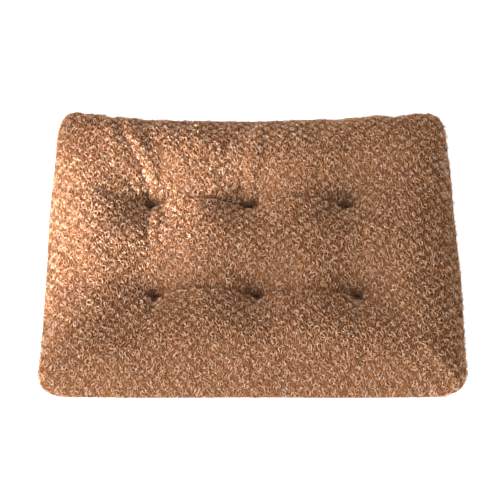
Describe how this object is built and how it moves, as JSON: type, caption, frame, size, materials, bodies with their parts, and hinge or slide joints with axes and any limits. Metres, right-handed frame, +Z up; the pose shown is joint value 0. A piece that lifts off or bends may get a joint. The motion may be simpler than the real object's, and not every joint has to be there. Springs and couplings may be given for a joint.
{
  "type": "pet cushion bed",
  "caption": "Rectangular tufted pet cushion bed: a plush top and a plain base sewn over a fibre pad, held in by thread ties.",
  "frame": {"origin": "on the floor, under the middle of the cushion", "axes": "+X along the cushion's length, +Y towards its back edge, +Z up"},
  "size_m": [0.914, 0.69, 0.1006],
  "materials": {
    "plush": "short curled tan plush, matt with light fibre tips",
    "base_fabric": "plain matt brown twill",
    "fibre": "white polyester fibre",
    "seam_fabric": "overlocked fabric edge, matt",
    "tie_thread": "dark brown twisted polyester thread"
  },
  "bodies": {
    "root": {"top_cover": "plush", "base_cover": "base_fabric", "fibre_fill": "fibre", "perimeter_seam": "seam_fabric", "tuft_tie_back_left": "tie_thread", "tuft_tie_back_middle": "tie_thread", "tuft_tie_back_right": "tie_thread", "tuft_tie_front_left": "tie_thread", "tuft_tie_front_middle": "tie_thread", "tuft_tie_front_right": "tie_thread"}
  },
  "joints": []
}
